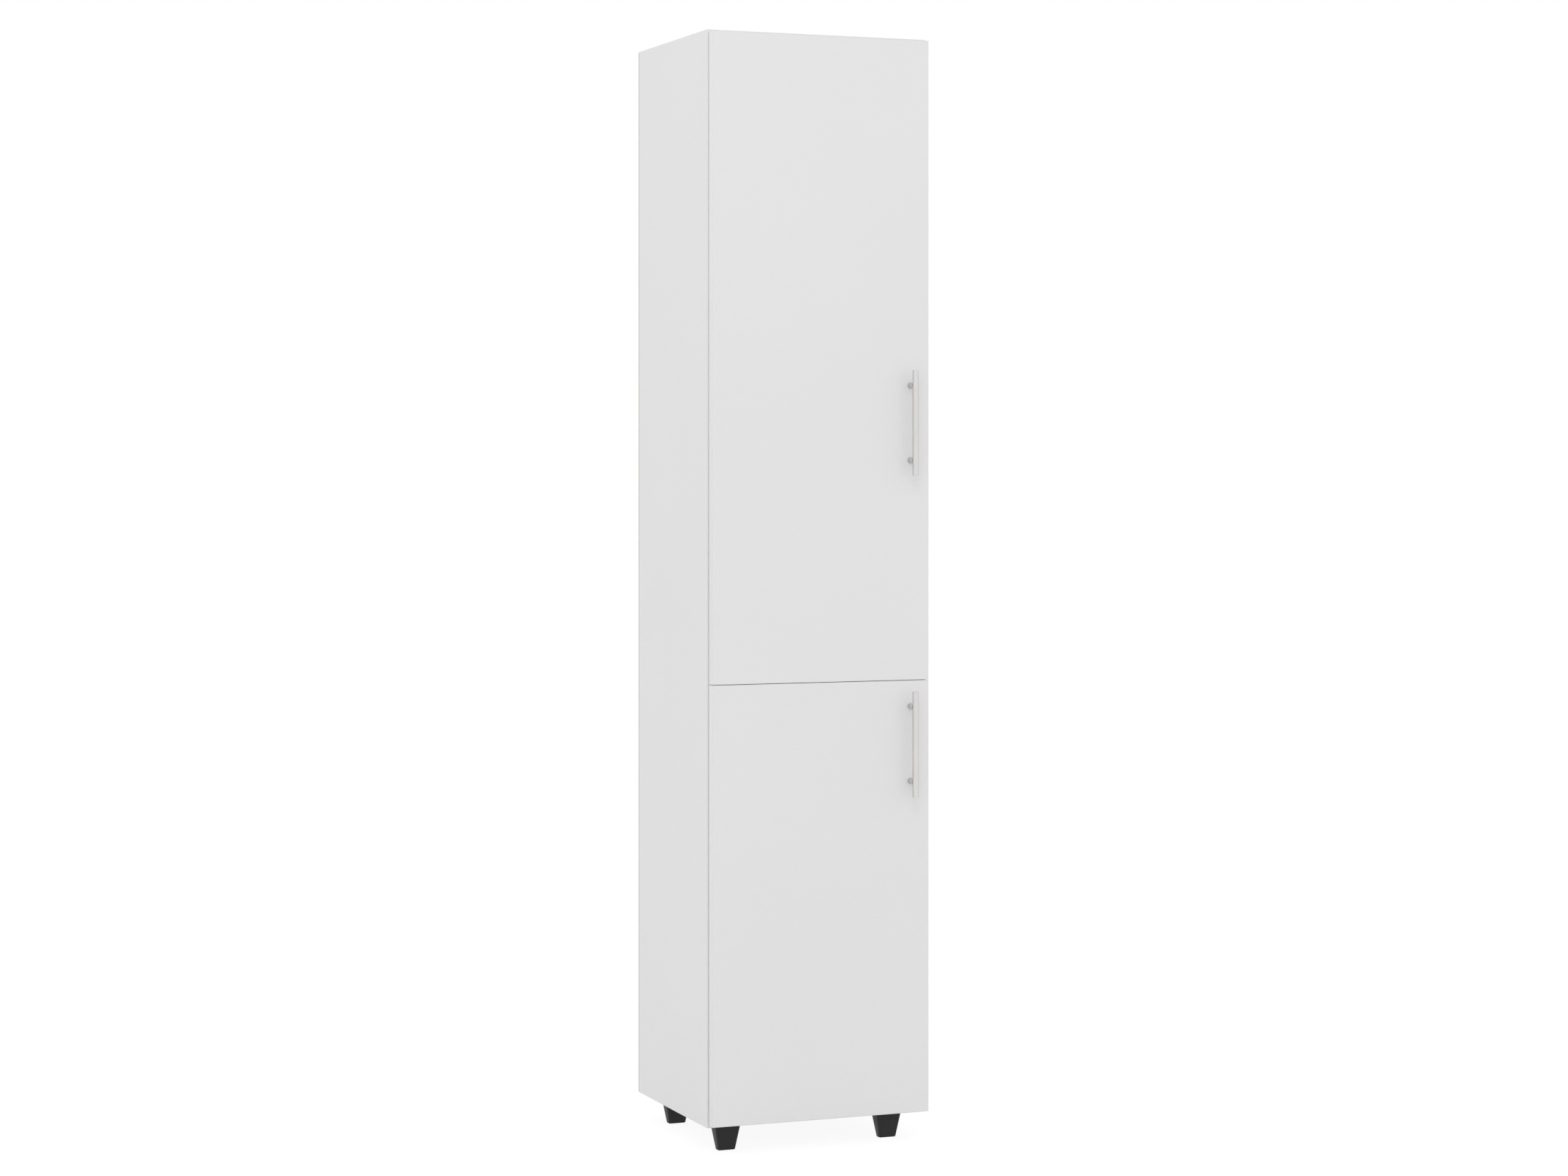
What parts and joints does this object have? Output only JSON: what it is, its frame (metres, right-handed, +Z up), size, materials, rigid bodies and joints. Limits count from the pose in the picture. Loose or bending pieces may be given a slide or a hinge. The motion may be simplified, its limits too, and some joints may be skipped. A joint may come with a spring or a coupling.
{
  "type": "tall narrow cabinet",
  "caption": "Tall narrow cupboard: an upper and a lower door on concealed hinges, loose shelves inside, vertical bar handles and low tapered feet.",
  "frame": {"origin": "middle of the bounding box on the floor, under the feet", "axes": "+X to the right seen from the front, +Y to the back, +Z up"},
  "size_m": [0.4, 0.3996, 1.89],
  "materials": {
    "white_board": "white melamine-faced particle board, fine satin",
    "white_door": "white satin faced board with edge banding",
    "hardboard": "thin painted hardboard with a raw beige edge",
    "black_plastic": "black moulded plastic, lightly textured",
    "satin_steel": "satin steel, brushed along the bar",
    "nickel": "nickel plated steel",
    "zinc": "zinc plated steel"
  },
  "bodies": {
    "cabinet": {"side_panel_left": "white_board", "side_panel_right": "white_board", "bottom_panel": "white_board", "fixed_shelf": "white_board", "top_panel": "white_board", "back_panel": "hardboard", "lower_shelf_1": "white_board", "lower_shelf_1_peg_left_front": "nickel", "lower_shelf_1_peg_left_back": "nickel", "lower_shelf_1_peg_right_front": "nickel", "lower_shelf_1_peg_right_back": "nickel", "upper_shelf_1": "white_board", "upper_shelf_1_peg_left_front": "nickel", "upper_shelf_1_peg_left_back": "nickel", "upper_shelf_1_peg_right_front": "nickel", "upper_shelf_1_peg_right_back": "nickel", "upper_shelf_2": "white_board", "upper_shelf_2_peg_left_front": "nickel", "upper_shelf_2_peg_left_back": "nickel", "upper_shelf_2_peg_right_front": "nickel", "upper_shelf_2_peg_right_back": "nickel", "foot_front_left": "black_plastic", "foot_front_right": "black_plastic", "foot_back_left": "black_plastic", "foot_back_right": "black_plastic", "upper_hinge_1_mounting_plate": "zinc", "upper_hinge_1_arm": "nickel", "upper_hinge_2_mounting_plate": "zinc", "upper_hinge_2_arm": "nickel", "upper_hinge_3_mounting_plate": "zinc", "upper_hinge_3_arm": "nickel", "lower_hinge_1_mounting_plate": "zinc", "lower_hinge_1_arm": "nickel", "lower_hinge_2_mounting_plate": "zinc", "lower_hinge_2_arm": "nickel"},
    "upper_outer_links": {"upper_hinge_1_outer_link": "zinc", "upper_hinge_2_outer_link": "zinc", "upper_hinge_3_outer_link": "zinc"},
    "upper_leaf": {"upper_hinge_1_cup": "nickel", "upper_hinge_2_cup": "nickel", "upper_hinge_3_cup": "nickel", "upper_door": "white_door", "upper_handle_bar": "satin_steel", "upper_handle_post_top": "satin_steel", "upper_handle_post_bottom": "satin_steel"},
    "upper_inner_links": {"upper_hinge_1_inner_link": "zinc", "upper_hinge_2_inner_link": "zinc", "upper_hinge_3_inner_link": "zinc"},
    "lower_outer_links": {"lower_hinge_1_outer_link": "zinc", "lower_hinge_2_outer_link": "zinc"},
    "lower_leaf": {"lower_hinge_1_cup": "nickel", "lower_hinge_2_cup": "nickel", "lower_door": "white_door", "lower_handle_bar": "satin_steel", "lower_handle_post_top": "satin_steel", "lower_handle_post_bottom": "satin_steel"},
    "lower_inner_links": {"lower_hinge_1_inner_link": "zinc", "lower_hinge_2_inner_link": "zinc"}
  },
  "joints": [
    {"name": "upper_outer_link_swing", "type": "hinge", "parent": "cabinet", "child": "upper_outer_links", "pos_m": [-0.16, -0.1322, 1.33797], "axis": [0, 0, 1], "range_deg": [0, 27.36]},
    {"name": "upper_door_swing", "type": "hinge", "parent": "upper_outer_links", "child": "upper_leaf", "pos_m": [-0.1897, -0.1578, 1.33797], "axis": [0, 0, -1], "range_deg": [0, 122.36]},
    {"name": "upper_inner_link_swing", "type": "hinge", "parent": "upper_leaf", "child": "upper_inner_links", "pos_m": [-0.18708, -0.16055, 1.33797], "axis": [0, 0, 1], "range_deg": [0, 135.85]},
    {"name": "lower_outer_link_swing", "type": "hinge", "parent": "cabinet", "child": "lower_outer_links", "pos_m": [-0.16, -0.1322, 0.41835], "axis": [0, 0, 1], "range_deg": [0, 27.36]},
    {"name": "lower_door_swing", "type": "hinge", "parent": "lower_outer_links", "child": "lower_leaf", "pos_m": [-0.1897, -0.1578, 0.41835], "axis": [0, 0, -1], "range_deg": [0, 122.36]},
    {"name": "lower_inner_link_swing", "type": "hinge", "parent": "lower_leaf", "child": "lower_inner_links", "pos_m": [-0.18708, -0.16055, 0.41835], "axis": [0, 0, 1], "range_deg": [0, 135.85]}
  ],
  "couplings": [
    {"joint": "upper_outer_link_swing", "follows": "upper_door_swing", "ratio": 0.2236},
    {"joint": "upper_inner_link_swing", "follows": "upper_door_swing", "ratio": 1.1102},
    {"joint": "lower_outer_link_swing", "follows": "lower_door_swing", "ratio": 0.2236},
    {"joint": "lower_inner_link_swing", "follows": "lower_door_swing", "ratio": 1.1102}
  ]
}
